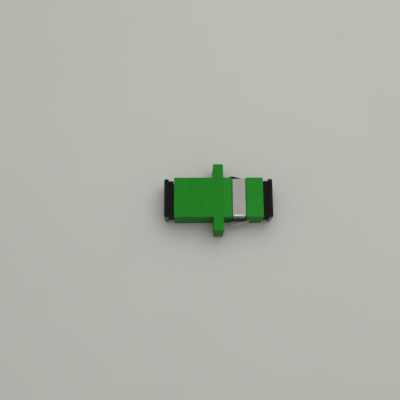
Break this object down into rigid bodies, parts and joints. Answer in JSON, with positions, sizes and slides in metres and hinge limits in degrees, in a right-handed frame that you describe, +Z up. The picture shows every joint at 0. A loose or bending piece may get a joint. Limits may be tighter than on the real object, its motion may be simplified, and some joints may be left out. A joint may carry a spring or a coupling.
{
  "type": "sc fibre adapter",
  "caption": "Simplex fibre-optic coupler with a flanged green housing, a sprung panel clip, an inner split sleeve and a push-in dust cap in each port.",
  "frame": {"origin": "on the plane that the adapter lies on, under the middle of the adapter", "axes": "+X along the adapter towards the port on the clip's side; +Y across it towards one flange ear; +Z up"},
  "size_m": [0.0342, 0.022, 0.0093],
  "materials": {
    "green_housing": "moulded, fine satin",
    "white_plastic": "moulded, natural",
    "zirconia": "ground",
    "spring_steel": "rolled strip",
    "black_plastic": "moulded, satin"
  },
  "bodies": {
    "adapter": {"flange_housing": "green_housing", "clip_housing": "green_housing", "left_sleeve_holder": "white_plastic", "right_sleeve_holder": "white_plastic", "alignment_sleeve": "zirconia", "panel_clip": "spring_steel"},
    "left_cap": {"left_dust_cap": "black_plastic"},
    "right_cap": {"right_dust_cap": "black_plastic"}
  },
  "joints": [
    {"name": "left_cap_pull", "type": "slide", "parent": "adapter", "child": "left_cap", "axis": [-1, 0, 0], "range_m": [0, 0.01]},
    {"name": "right_cap_pull", "type": "slide", "parent": "adapter", "child": "right_cap", "axis": [1, 0, 0], "range_m": [0, 0.01]}
  ]
}
